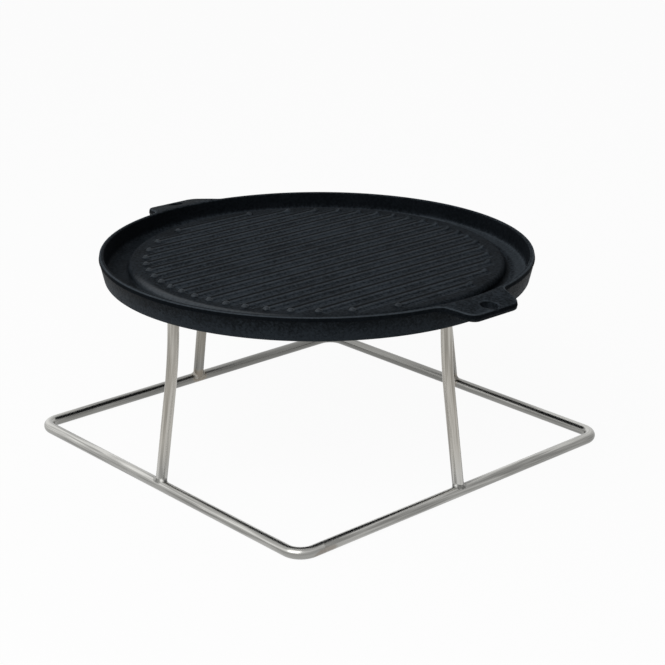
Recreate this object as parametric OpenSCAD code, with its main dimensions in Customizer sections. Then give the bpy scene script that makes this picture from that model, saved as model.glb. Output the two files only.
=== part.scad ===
// Round cast-iron griddle plate, lying loose on a welded stand of bent steel rod.
// Millimetres. +Z is up, the origin is the middle of the stand on the ground,
// and the plate's two ears point along +Y and -Y.

/* [Stand] */
// Diameter of the steel rod
rod_d = 8; // [6:0.5:10]
// How far outside its tip a leg's foot stands
leg_splay = 15.3; // [8:0.1:30]
// Inside radius of the frame's bent corners
frame_corner_r = 8; // [4:1:30]
// Height of the leg tips above the ground
stand_h = 130.5; // [110:0.5:180]
// How far below the leg tips a leg's leaning line meets its upright line
knee_drop = 30; // [15:1:45]
// How far inside the middle of the frame's rod a leg stands
foot_inset = 1; // [0:0.5:2]
// Height of a leg's cut end above the middle of the frame's rod
foot_cut_h = 1.5; // [1:0.5:2.5]
// Thickness of the weld bead round a leg's foot
weld_t = 1.2; // [0.8:0.1:2.5]
// Height of that bead's middle above the middle of the frame's rod
weld_rise = 3.2; // [2.5:0.1:4]
// Length of the flush weld that closes the frame
seam_l = 2; // [1:0.5:4]
// Distance of that weld from the frame's nearest bend
seam_inset = 8; // [4:1:40]

/* [Plate] */
// Diameter of the plate at its parting line
plate_d = 311; // [300:1:330]
// Depth of the plate from rim to foot
plate_h = 17.5; // [16:0.5:22]
// Height of the lip above the parting line
lip_h = 2.8; // [2:0.2:4]
// How far the lip draws in towards its top
lip_draft = 0.4; // [0.2:0.1:0.8]
// How far the outer wall draws in towards the foot
wall_draft = 3.5; // [2:0.5:5]
// Rounding of the foot's outer edge
foot_round = 2; // [1:0.5:3]
// Width of the flat rim
rim_w = 3; // [2.5:0.5:4]
// How far the inner wall draws in towards the moat
inner_draft = 2.2; // [1:0.2:3]
// Thickness of the iron under the moat
floor_t = 4.8; // [4.5:0.1:6]
// Width of the moat between the cooking disc and the rim
moat_w = 14.9; // [12:0.1:20]
// Height of the disc above the moat
disc_step = 5.9; // [5.6:0.1:7]
// Rounding of the disc's edge
shoulder_r = 3.5; // [2:0.5:3.5]
// Fillet between the moat and the disc
moat_inner_r = 2; // [1:0.5:2]
// Fillet between the moat and the rim
moat_outer_r = 3.5; // [2:0.5:4]
// Depth of the recess inside the heat ring
recess_h = 2.5; // [1.5:0.1:3]
// Gap between the leg tips and the heat ring
tip_gap = 0.6; // [0.4:0.1:1.5]
// Gap in plan between the heat ring and the disc's edge
ring_offset = 0.7; // [0.2:0.1:3]

/* [Ribs] */
// Distance from rib to rib
rib_pitch = 13.2; // [11:0.1:20]
// Height of a rib above the disc
rib_h = 0.7; // [0.5:0.1:1]
// Radius of a rib's round back
rib_r = 5; // [4:0.5:5]
// Height of the bead at a rib's end above the disc
bead_h = 1.4; // [1.2:0.1:1.4]
// Radius of that bead
bead_r = 3.2; // [3.2:0.1:4]
// Plain margin between the rib ends and the disc's edge
rib_margin = 10.5; // [6:0.5:16]
// Shortest half length of a rib
rib_min_half = 30; // [20:1:40]

/* [Ears] */
// Reach of an ear past the parting line
ear_reach = 20; // [18:0.5:26]
// Width of an ear at its root
ear_root_w = 58; // [54:1:70]
// Width of an ear at its tip, before its corners are rounded
ear_tip_w = 44; // [40:1:52]
// Thickness of an ear
ear_t = 5.3; // [4:0.1:7]
// Rounding of an ear's corners in plan
ear_corner_r = 9; // [6:0.5:10]
// Fillet between an ear and the rim in plan
ear_fillet_r = 9; // [5:0.5:14]
// Downward slope of an ear in degrees
ear_droop = 8; // [4:0.5:10]
// Diameter of the hanging hole
hole_d = 12; // [8:0.5:13]
// Distance from an ear's tip to the middle of the hole
hole_inset = 7.7; // [7:0.1:9]

/* [Hidden] */
$fn = 96;
iron = [0.13, 0.135, 0.14];
steel = [0.72, 0.71, 0.68];
weld_steel = [0.60, 0.57, 0.52];

// Margin by which a cutting shape passes the face that it cuts
past = 1;
// Degrees by which a leg's bend runs on before its tip is cut level
tip_spare = 1;
// Depth to which the ribs are sunk in the disc
rib_sink = 1;

rod_r = rod_d / 2;
rim_r = plate_d / 2;
foot_r = rim_r - wall_draft;
parting_z = plate_h - lip_h;
inner_top_r = rim_r - lip_draft - rim_w;
inner_foot_r = inner_top_r - inner_draft;
disc_r = inner_foot_r - moat_w;
disc_z = floor_t + disc_step;
plate_z = stand_h - recess_h;
recess_r = disc_r - ring_offset;
inner_slope = atan(inner_draft / (plate_h - floor_t));
outer_slope = atan(wall_draft / parting_z);
// Middle radius of the rim's wall, where the ears root
wall_mid_r = rim_r - lip_draft - rim_w / 2;

rib_end_r = disc_r - rib_margin;
bead_foot = sqrt(bead_r ^ 2 - (bead_r - bead_h) ^ 2);
rib_last = floor(sqrt(rib_end_r ^ 2 - rib_min_half ^ 2) / rib_pitch);

// A leg leans in from the frame, then one long bend brings it upright at its tip.
tip_r = recess_r - tip_gap - rod_r;
foot_axis_r = tip_r + leg_splay;
knee_rise = stand_h - knee_drop - rod_r;
lean = atan(leg_splay / knee_rise);
leg_bend_r = knee_drop / tan(lean / 2);
lean_l = knee_rise / cos(lean) - knee_drop;

// The frame's sides pass just outside the legs' feet.
side_r = foot_axis_r + foot_inset;
corner_r = frame_corner_r + rod_r;
side_l = 2 * (side_r - corner_r);
seam_y = seam_inset - side_l / 2;

// An ear's side slopes from its root to its tip: along is the side's direction, out is its normal.
ear_taper = (ear_root_w - ear_tip_w) / 2;
ear_side_l = norm([ear_taper, ear_reach]);
ear_along = [-ear_taper, ear_reach] / ear_side_l;
ear_out = [ear_reach, ear_taper] / ear_side_l;
ear_root = [ear_root_w / 2, rim_r];
ear_tip_y = rim_r + ear_reach;
corner_y = ear_tip_y - ear_corner_r;
corner_x = ear_root[0] - (ear_corner_r + ear_out[1] * (corner_y - rim_r)) / ear_out[0];
// The root fillet's centre lies one fillet radius from the ear's side and from the rim's circle.
fillet_line = ear_root + ear_fillet_r * ear_out;
fillet_along = fillet_line * ear_along;
fillet_across = fillet_line * ear_out;
fillet_rise = sqrt((rim_r + ear_fillet_r) ^ 2 - fillet_across ^ 2);
fillet_centre = fillet_line + (fillet_rise - fillet_along) * ear_along;
hole_y = ear_tip_y - hole_inset;

// Turns from the +X side of the stand to each of its sides
turn_right = 0;
turn_back = 90;
turn_left = 180;
turn_front = 270;

// Half section of the space above the iron: over the disc, down its rounded shoulder,
// across the moat and up the drafted inner wall.
module dish_section() {
    top = plate_h + past;
    wall_centre = inner_foot_r + moat_outer_r * (tan(inner_slope) - 1 / cos(inner_slope));
    wall_touch = [
        wall_centre + moat_outer_r * cos(inner_slope),
        floor_t + moat_outer_r * (1 - sin(inner_slope))
    ];
    top_r = inner_top_r + past * tan(inner_slope);
    translate([0, disc_z])
        square([disc_r, top - disc_z]);
    translate([disc_r - shoulder_r, disc_z - shoulder_r])
        difference() {
            square(shoulder_r);
            circle(shoulder_r);
        }
    polygon([
        [disc_r, top],
        [disc_r, floor_t + moat_inner_r],
        [disc_r + moat_inner_r, floor_t],
        [wall_centre, floor_t],
        wall_touch,
        [top_r, top]
    ]);
    translate([disc_r + moat_inner_r, floor_t + moat_inner_r])
        circle(moat_inner_r);
    translate([wall_centre, floor_t + moat_outer_r])
        circle(moat_outer_r);
}

// The sliver cut away to round the foot's outer edge
module foot_edge_section() {
    centre_r = foot_r + foot_round * (tan(outer_slope) - 1 / cos(outer_slope));
    touch = [
        centre_r + foot_round * cos(outer_slope),
        foot_round * (1 - sin(outer_slope))
    ];
    corner = [foot_r + past, -past];
    difference() {
        polygon([[centre_r, -past], corner, touch + [past, 0], touch, [centre_r, foot_round]]);
        translate([centre_r, foot_round])
            circle(foot_round);
    }
}

// Half section of the plate without its ears and ribs
module plate_section() {
    difference() {
        polygon([[0, 0], [foot_r, 0], [rim_r, parting_z], [rim_r - lip_draft, plate_h], [0, plate_h]]);
        dish_section();
        foot_edge_section();
        translate([0, -past])
            square([recess_r, recess_h + past]);
    }
}

// One half of an ear in plan, on the +X side: the tapered side, the round corner and the root fillet
module ear_half_outline() {
    corner_touch = [corner_x, corner_y] + ear_corner_r * ear_out;
    rim_touch = fillet_centre * rim_r / (rim_r + ear_fillet_r);
    rim_inner = rim_touch * (1 - rim_w / rim_r);
    side_touch = fillet_centre - ear_fillet_r * ear_out;
    polygon([
        [0, rim_r - rim_w],
        ear_root - rim_w * ear_along,
        corner_touch,
        [corner_x, ear_tip_y],
        [0, ear_tip_y]
    ]);
    translate([corner_x, corner_y])
        circle(ear_corner_r);
    difference() {
        polygon([rim_inner, rim_touch, fillet_centre, side_touch, [0, rim_r - rim_w]]);
        translate(fillet_centre)
            circle(ear_fillet_r);
    }
}

// Places its children on the sloping top of the ear on the +Y side
module on_ear() {
    translate([0, rim_r, plate_h])
        rotate([-ear_droop, 0, 0])
            translate([0, -rim_r, 0])
                children();
}

// An ear rooted in the middle of the rim's wall, level with the rim where it leaves it
module ear() {
    difference() {
        on_ear()
            translate([0, 0, -ear_t])
                linear_extrude(ear_t) {
                    ear_half_outline();
                    mirror([1, 0])
                        ear_half_outline();
                }
        translate([-ear_root_w, 0, plate_h])
            cube([2 * ear_root_w, 2 * rim_r, ear_t]);
        cylinder(r = wall_mid_r, h = plate_h + past);
    }
}

module ear_hole() {
    on_ear()
        translate([0, hole_y, -ear_t - past])
            cylinder(d = hole_d, h = ear_t + 2 * past);
}

// Section of a rib across its length, sunk a little below the disc
module rib_section() {
    intersection() {
        translate([0, rib_h - rib_r])
            circle(rib_r);
        translate([-rib_r, -rib_sink])
            square([2 * rib_r, rib_sink + rib_r]);
    }
}

// A low round-backed rib along X, with a taller bead at each end on the rib circle
module rib(y) {
    half = sqrt(rib_end_r ^ 2 - y ^ 2) - bead_foot;
    translate([0, y, disc_z]) {
        rotate([90, 0, 90])
            linear_extrude(2 * half, center = true)
                rib_section();
        for (end = [-half, half])
            translate([end, 0, bead_h - bead_r])
                sphere(bead_r);
    }
}

module griddle_plate() {
    color(iron)
        translate([0, 0, plate_z])
            difference() {
                union() {
                    rotate_extrude()
                        plate_section();
                    ear();
                    mirror([0, 1, 0])
                        ear();
                    for (i = [-rib_last:rib_last])
                        rib(i * rib_pitch);
                }
                ear_hole();
                mirror([0, 1, 0])
                    ear_hole();
            }
}

// A straight rod along Y from one place to another on the frame's +X side
module side_rod(from_y, to_y) {
    translate([side_r, from_y, rod_r])
        rotate([-90, 0, 0])
            cylinder(r = rod_r, h = to_y - from_y);
}

// The bent corner between the frame's +X and +Y sides
module frame_corner() {
    translate([side_r - corner_r, side_r - corner_r, rod_r])
        rotate_extrude(angle = 90)
            translate([corner_r, 0])
                circle(rod_r);
}

module base_frame() {
    color(steel) {
        for (turn = [turn_right, turn_back, turn_left])
            rotate(turn)
                side_rod(-side_l / 2, side_l / 2);
        rotate(turn_front) {
            side_rod(-side_l / 2, seam_y - seam_l / 2);
            side_rod(seam_y + seam_l / 2, side_l / 2);
        }
        for (turn = [turn_right, turn_back, turn_left, turn_front])
            rotate(turn)
                frame_corner();
    }
}

module frame_seam_weld() {
    color(weld_steel)
        rotate(turn_front)
            side_rod(seam_y - seam_l / 2, seam_y + seam_l / 2);
}

// A leg's whole rod on the +X side, cut level at its foot and at its tip
module leg_rod() {
    difference() {
        translate([foot_axis_r, 0, rod_r])
            rotate([0, -lean, 0]) {
                cylinder(r = rod_r, h = lean_l);
                translate([leg_bend_r, 0, lean_l])
                    rotate([90, 0, 180])
                        rotate_extrude(angle = lean + tip_spare)
                            translate([leg_bend_r, 0])
                                circle(rod_r);
            }
        translate([foot_axis_r - rod_d, -rod_d, 0])
            cube([2 * rod_d, 2 * rod_d, rod_r + foot_cut_h]);
        translate([tip_r - rod_d, -rod_d, stand_h])
            cube([2 * rod_d, 2 * rod_d, leg_bend_r * sin(tip_spare) + rod_d]);
    }
}

// A leg with its foot coped to sit on the frame's rod
module leg(turn) {
    color(steel)
        rotate(turn)
            difference() {
                leg_rod();
                side_rod(-corner_r - rod_d, corner_r + rod_d);
            }
}

module leg_front() {
    leg(turn_front);
}

module leg_back() {
    leg(turn_back);
}

module leg_left() {
    leg(turn_left);
}

module leg_right() {
    leg(turn_right);
}

// The bead round a leg's foot, in the corner between leg and frame
module foot_weld(turn) {
    color(weld_steel)
        rotate(turn)
            difference() {
                translate([foot_axis_r - weld_rise * tan(lean), 0, rod_r + weld_rise])
                    sphere(rod_r + weld_t);
                leg_rod();
                side_rod(-corner_r - rod_d, corner_r + rod_d);
            }
}

module foot_weld_front() {
    foot_weld(turn_front);
}

module foot_weld_back() {
    foot_weld(turn_back);
}

module foot_weld_left() {
    foot_weld(turn_left);
}

module foot_weld_right() {
    foot_weld(turn_right);
}

griddle_plate();
base_frame();
frame_seam_weld();
leg_front();
leg_back();
leg_left();
leg_right();
foot_weld_front();
foot_weld_back();
foot_weld_left();
foot_weld_right();
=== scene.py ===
"""Round cast-iron griddle plate on a stand of bent steel rod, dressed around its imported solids."""

import math

import bmesh
import bpy
import numpy as np
from bpy.props import FloatProperty, FloatVectorProperty, IntProperty, PointerProperty
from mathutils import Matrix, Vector


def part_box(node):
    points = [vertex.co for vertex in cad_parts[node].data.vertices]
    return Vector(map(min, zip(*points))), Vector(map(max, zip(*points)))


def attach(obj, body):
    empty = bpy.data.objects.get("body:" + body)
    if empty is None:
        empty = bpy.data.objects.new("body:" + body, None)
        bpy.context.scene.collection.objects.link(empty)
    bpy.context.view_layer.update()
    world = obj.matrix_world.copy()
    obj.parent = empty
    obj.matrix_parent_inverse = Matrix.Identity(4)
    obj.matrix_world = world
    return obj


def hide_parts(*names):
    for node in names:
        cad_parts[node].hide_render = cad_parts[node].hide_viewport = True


bl_info = {
    "name": "Camp griddle plate",
    "version": (1, 0, 0),
    "blender": (4, 5, 0),
    "location": "View3D > Sidebar > Griddle",
    "description": "Builds a ribbed cast-iron griddle plate and its stand of bent rod",
    "category": "Object",
}

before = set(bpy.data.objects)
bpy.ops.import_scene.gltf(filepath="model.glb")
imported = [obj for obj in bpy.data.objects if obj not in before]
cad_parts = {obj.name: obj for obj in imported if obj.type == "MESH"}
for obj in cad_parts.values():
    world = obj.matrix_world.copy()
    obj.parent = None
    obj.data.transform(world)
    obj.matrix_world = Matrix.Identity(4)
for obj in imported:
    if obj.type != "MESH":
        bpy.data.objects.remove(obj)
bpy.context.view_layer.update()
PLATE_LOW, PLATE_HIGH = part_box("griddle_plate")
FRAME_LOW, FRAME_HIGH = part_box("base_frame")
LEG_LOW, LEG_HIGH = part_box("leg_right")
SEAM_LOW, SEAM_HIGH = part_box("frame_seam_weld")
SEAM_MIDDLE = (SEAM_LOW + SEAM_HIGH) / 2

GRAIN = "rod_grain"
EDGE = "edge_gap"
MM = 0.001
UP = Vector((0, 0, 1))
FRONT = Vector((0, -1, 0))
# Across a leg of the stand's +X side
ACROSS = Vector((0, 1, 0))
WHITE = (1.0, 1.0, 1.0, 1.0)
# Cool tint of the light that oiled iron throws back
IRON_SHEEN = (0.80, 0.94, 1.0, 1.0)
# Directions in plan: to the plate's left, to its far side and to the side where its shoulder carries a
# painted highlight
LEFT_WAY = (-1.0, 0.1)
FAR_WAY = (0.61, 0.79)
SHEEN_WAY = (-0.98, -0.18)
# Quarter turns from the stand's +X side to each of its sides
SIDES = {"right": 0, "back": 1, "left": 2, "front": 3}
# How finely the meshes are divided
ROD_SIDES = 40
HOLE_SIDES = 64
CORNER_STEPS = 12
SIDE_STEPS = 28
SEAM_STEPS = 4
LEAN_STEPS = 10
KNEE_STEPS = 16
WELD_STATIONS = 96
WELD_CURVE = 8
BASE_ROWS = 25
# Ripples round a foot's weld, and how deep its back lies in the steel
WELD_RIPPLES = 22
WELD_ROOT = 0.8 * MM
# Times that the search for the outline halves its range
OUTLINE_HALVINGS = 40
# Edges sharper than this stay sharp, in degrees
SHARP_EDGE = 40
SHARP_WELD = 50


def to_tenth(value):
    """A measured length in metres, to a tenth of a millimetre."""
    return round(value, 4)


def length(name, description, default):
    """A size in metres that a user can set."""
    return FloatProperty(name=name, description=description, default=default, unit="LENGTH", precision=5)


def share(name, description, default):
    """A plain number from 0 to 1 that a user can set."""
    return FloatProperty(name=name, description=description, default=default, min=0, max=1, subtype="FACTOR")


def shade(name, description, default):
    """A colour that a user can set."""
    return FloatVectorProperty(
        name=name, description=description, default=default, size=3, min=0, max=1, subtype="COLOR"
    )


def place(name, description, default):
    """A point that a user can set."""
    return FloatVectorProperty(
        name=name, description=description, default=default, size=3, unit="LENGTH", subtype="TRANSLATION"
    )


class PlateSizes(bpy.types.PropertyGroup):
    """Sizes of the cast plate."""

    foot_z: length("Foot height", "Height of the plate's foot above the ground", to_tenth(PLATE_LOW.z))
    height: length("Depth", "Depth of the plate from rim to foot", to_tenth(PLATE_HIGH.z - PLATE_LOW.z))
    rim_r: length("Rim radius", "Radius of the plate at its parting line", to_tenth(PLATE_HIGH.x))
    lip_h: length("Lip height", "Height of the lip above the parting line", 0.0028)
    lip_draft: length("Lip draft", "How far the lip draws in towards its top", 0.0004)
    wall_draft: length("Wall draft", "How far the outer wall draws in towards the foot", 0.0035)
    part_step: length("Parting step", "How far the lower mould's wall stands behind the lip", 0.00025)
    part_stray: length("Parting stray", "How far the parting line wanders up and down", 0.00018)
    foot_round: length("Foot rounding", "Rounding of the foot's outer edge", 0.002)
    rim_w: length("Rim width", "Width of the flat rim", 0.003)
    edge_r: length("Rim rounding", "Rounding of the rim's two top edges", 0.0007)
    inner_draft: length("Inner draft", "How far the inner wall draws in towards the moat", 0.0022)
    floor_t: length("Floor thickness", "Thickness of the iron under the moat", 0.0048)
    moat_w: length("Moat width", "Width of the moat between disc and rim", 0.0149)
    disc_step: length("Disc step", "Height of the disc above the moat", 0.0059)
    shoulder_r: length("Shoulder rounding", "Rounding of the disc's edge", 0.0035)
    moat_inner_r: length("Inner moat fillet", "Fillet between moat and disc", 0.002)
    moat_outer_r: length("Outer moat fillet", "Fillet between moat and rim", 0.0035)
    recess_h: length("Recess depth", "Depth of the recess inside the heat ring", 0.0025)
    ring_offset: length("Ring offset", "Gap in plan between the heat ring and the disc's edge", 0.0007)
    rib_pitch: length("Rib pitch", "Distance from rib to rib", 0.0132)
    rib_h: length("Rib height", "Height of a rib above the disc", 0.0007)
    rib_r: length("Rib radius", "Radius of a rib's round back", 0.005)
    bead_h: length("Bead height", "Height of a rib's bead end above the disc", 0.002)
    bead_r: length("Bead radius", "Radius of a bead's round back", 0.0025)
    rib_margin: length("Rib margin", "Plain margin between the rib ends and the disc's edge", 0.0105)
    rib_last: IntProperty(name="Ribs each way", description="Ribs on each side of the middle one", default=9)
    rib_blend: length("Rib blend", "Softness of the corner between a rib and the disc", 0.00015)
    ear_tip_y: length("Ear tip", "Distance of an ear's tip from the plate's middle", to_tenth(PLATE_HIGH.y))
    ear_root_w: length("Ear root width", "Width of an ear at its root", 0.058)
    ear_tip_w: length("Ear tip width", "Width of an ear at its tip, before rounding", 0.044)
    ear_t: length("Ear thickness", "Thickness of an ear", 0.0053)
    ear_corner_r: length("Ear corner", "Rounding of an ear's corners in plan", 0.009)
    ear_fillet_r: length("Ear root fillet", "Fillet between an ear and the rim in plan", 0.009)
    ear_under_r: length("Ear under fillet", "Fillet between an ear's underside and the wall", 0.0025)
    ear_edge_r: length("Ear lower edge", "Rounding of an ear's lower edge", 0.0012)
    ear_droop: FloatProperty(
        name="Ear slope", description="Downward slope of an ear", default=math.radians(8), subtype="ANGLE"
    )
    hole_d: length("Hole diameter", "Diameter of the hanging hole", 0.012)
    hole_inset: length("Hole inset", "Distance from an ear's tip to the hole's middle", 0.0077)
    hole_edge_r: length("Hole rounding", "Rounding of the hole's two edges", 0.0008)


class StandSizes(bpy.types.PropertyGroup):
    """Sizes of the welded stand."""

    rod_d: length("Rod diameter", "Diameter of the steel rod", to_tenth(FRAME_HIGH.z - FRAME_LOW.z))
    outer_r: length("Frame reach", "Distance from the middle to the frame's outside", to_tenth(FRAME_HIGH.x))
    corner_r: length("Corner radius", "Radius of a corner's bend at the rod's middle", 0.012)
    seam_x: length("Seam place", "Place of the closing weld along the front side", to_tenth(SEAM_MIDDLE.x))
    seam_l: length("Seam length", "Length of the closing weld", to_tenth(SEAM_HIGH.x - SEAM_LOW.x))
    seam_rise: length("Seam rise", "How far the ground closing weld stands proud", 0.00003)
    height: length("Stand height", "Height of the leg tips above the ground", to_tenth(LEG_HIGH.z))
    tip_inner_r: length("Tip reach", "Distance from the middle to a leg tip's inside", to_tenth(LEG_LOW.x))
    splay: length("Leg splay", "How far outside its tip a leg's foot stands", 0.0153)
    knee_drop: length("Knee drop", "How far below the tip the leaning and upright lines meet", 0.03)
    foot_inset: length("Foot inset", "How far inside the middle of the frame's rod a leg stands", 0.001)
    foot_cut_h: length("Foot cut", "Height of a leg's cut end above the middle of the frame's rod", 0.0015)
    tip_bevel: length("Tip bevel", "Bevel round a leg's cut tip", 0.0004)
    bead_leg: length("Bead on leg", "How far a foot's weld climbs its leg", 0.0021)
    bead_rod: length("Bead on rod", "How far a foot's weld spreads over the frame's rod", 0.0019)
    bead_fill: share("Bead fill", "How far a foot's weld fills its corner, where 1 is flat across it", 0.3)
    bead_ripple: length("Bead ripple", "Depth of the ripples along a foot's weld", 0.00004)


class FinishColours(bpy.types.PropertyGroup):
    """Colours of the finishes."""

    iron_dark: shade("Seasoned iron, dark", "Darker tone of the oiled cooking side", (0.0080, 0.0101, 0.0126))
    iron_pale: shade("Seasoned iron, pale", "Paler tone of the oiled cooking side", (0.0312, 0.0389, 0.0476))
    # Colour of painted shade in corners and on steep sides, partly dark seasoning
    iron_soot_and_shade: shade("Soot and shade on iron", "Tone of the corners and steep sides", (0.0030, 0.0039, 0.0050))
    # Colour of painted highlights on crests, beads, rim and shoulder, and of paler flats between ribs
    iron_sheen_and_pale: shade("Highlight and pale flats on iron", "Tone of rib backs and edges", (0.056, 0.067, 0.078))
    cast_dark: shade("Sand casting, dark", "Darker tone of the sand-cast side", (0.0024, 0.0031, 0.0040))
    cast_pale: shade("Sand casting, pale", "Paler tone of the sand-cast side", (0.0170, 0.0216, 0.0268))
    steel_pale: shade("Steel, pale", "Paler tone of the drawn rod", (0.50, 0.496, 0.474))
    steel_dark: shade("Steel, dark", "Darker tone of the drawn rod", (0.150, 0.149, 0.141))
    bead_steel: shade("Weld steel", "Tone of the cleaned welds", (0.42, 0.417, 0.40))
    heat_straw: shade("Straw tint", "Outer tone of the heat tint beside a weld", (0.34, 0.275, 0.185))
    heat_brown: shade("Brown tint", "Inner tone of the heat tint beside a weld", (0.15, 0.105, 0.07))


class StageSettings(bpy.types.PropertyGroup):
    """Camera, lamp and surroundings."""

    camera_at: place("Camera", "Place of the camera", (-0.7623, -0.8564, 0.4889))
    camera_aim: place("Aim", "Point that the camera looks at", (0.029, 0.0155, 0.0694))
    camera_lens: FloatProperty(name="Lens", description="Focal length", default=90.2, unit="CAMERA")
    key_at: place("Key lamp", "Place of the soft key lamp", (-1.265, -0.33, 1.195))
    key_size: length("Key size", "Side of the square key lamp", 1.5)
    key_power: FloatProperty(
        name="Key power", description="Power of the key lamp", default=19.0, unit="POWER"
    )
    floor_size: length("Floor size", "Side of the square floor", 14.0)
    floor_tone: shade("Floor", "Colour of the floor", (0.92, 0.92, 0.92))
    floor_glow: share("Floor white", "How much of the floor shows as plain white", 0.95)
    sky_level: share("Surround level", "Brightness of the surroundings", 0.3)
    mirror_gain: FloatProperty(
        name="Surround in metal",
        description="How many times brighter the surroundings show in metal",
        default=3.9,
    )
    sky_left: share("Surround left", "How much brighter the surroundings are on the left", 0.2)


def math_step(operation, swapped=False):
    """A Python operator that adds one Math node, with its values swapped for a reflected form."""

    def step(self, *other):
        values = (*other, self) if swapped else (self, *other)
        return self.nodes.add("ShaderNodeMath", {"operation": operation}, dict(enumerate(values)))

    return step


class Wire:
    """A shader socket that Python sums work on; each step of a sum adds one Math node."""

    def __init__(self, nodes, socket):
        self.nodes = nodes
        self.socket = socket

    __add__ = math_step("ADD")
    __radd__ = math_step("ADD", swapped=True)
    __sub__ = math_step("SUBTRACT")
    __rsub__ = math_step("SUBTRACT", swapped=True)
    __mul__ = math_step("MULTIPLY")
    __rmul__ = math_step("MULTIPLY", swapped=True)
    __truediv__ = math_step("DIVIDE")
    __rtruediv__ = math_step("DIVIDE", swapped=True)
    __pow__ = math_step("POWER")
    __abs__ = math_step("ABSOLUTE")
    rounded = math_step("ROUND")
    least = math_step("MINIMUM")
    most = math_step("MAXIMUM")

    def nearest(self, pitch):
        """The nearest whole number of pitches."""
        return (self / pitch).rounded() * pitch

    def step(self, low, high):
        """A soft step from 0 at low to 1 at high."""
        settings = {"interpolation_type": "SMOOTHSTEP"}
        return self.nodes.add("ShaderNodeMapRange", settings, {0: self, 1: low, 2: high})

    def fall(self, low, high):
        """A soft step from 1 at low to 0 at high."""
        return 1.0 - self.step(low, high)

    def parts(self):
        """The three numbers of a vector."""
        node = self.nodes.add("ShaderNodeSeparateXYZ", {}, {0: self}).socket.node
        return [Wire(self.nodes, socket) for socket in node.outputs]


def strongest(mask, *others):
    """The largest of several masks."""
    for other in others:
        mask = mask.most(other)
    return mask


def toward(x, y, way):
    """How far a point lies along a direction in plan."""
    return x * way[0] + y * way[1]


class Nodes:
    """A node tree that is filled from an empty start."""

    def __init__(self, owner):
        owner.use_nodes = True
        self.tree = owner.node_tree
        self.tree.nodes.clear()

    def add(self, kind, settings, inputs, output=0):
        """Adds a node with its settings, then the values or links of its sockets, and gives one output."""
        node = self.tree.nodes.new(kind)
        for name, value in settings.items():
            setattr(node, name, value)
        for name, value in inputs.items():
            if isinstance(value, Wire):
                self.tree.links.new(value.socket, node.inputs[name])
            else:
                node.inputs[name].default_value = value
        return Wire(self, node.outputs[output]) if node.outputs else None

    def spot(self):
        """The point on the piece, in the part's own frame."""
        return self.add("ShaderNodeTexCoord", {}, {}, "Object")

    def carried(self, name, output):
        """A value that the mesh's own points carry."""
        return self.add("ShaderNodeAttribute", {"attribute_name": name}, {}, output)

    def rays(self):
        """Three marks, for a ray from the camera, one off a gloss and one through something clear."""
        kinds = ("Is Camera Ray", "Is Glossy Ray", "Is Transmission Ray")
        return [self.add("ShaderNodeLightPath", {}, {}, kind) for kind in kinds]

    def stretch(self, vector, factors):
        """A vector with each of its numbers multiplied."""
        return self.add("ShaderNodeVectorMath", {"operation": "MULTIPLY"}, {0: vector, 1: factors})

    def noise(self, vector, scale, detail, rough=0.5):
        """Soft noise with so many lumps to the metre."""
        inputs = {"Vector": vector, "Scale": scale, "Detail": detail, "Roughness": rough}
        return self.add("ShaderNodeTexNoise", {}, inputs)

    def blend(self, factor, first, second):
        """A colour between two, each a colour property or a link."""
        first, second = (end if isinstance(end, Wire) else (*end, 1.0) for end in (first, second))
        return self.add("ShaderNodeMix", {"data_type": "RGBA"}, {0: factor, 6: first, 7: second}, 2)

    def layered(self, tone, *layers):
        """A colour with others laid over it, each as far as its mask says."""
        for mask, colour in layers:
            tone = self.blend(mask, tone, colour)
        return tone

    def surface(self, height, depth, **sockets):
        """A Principled surface with this relief, as the tree's end."""
        normal = self.add("ShaderNodeBump", {}, {"Height": height, "Distance": depth})
        inputs = {name.replace("_", " "): value for name, value in sockets.items()}
        shader = self.add("ShaderNodeBsdfPrincipled", {}, {"Normal": normal, **inputs})
        self.add("ShaderNodeOutputMaterial", {}, {"Surface": shader})


def new_finish(name):
    """A new material, and its node tree to fill."""
    material = bpy.data.materials.new(name)
    return material, Nodes(material)


def foot_of(radius, height):
    """Half width of a round back that stands this high."""
    return math.sqrt(radius**2 - (radius - height) ** 2)


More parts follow.
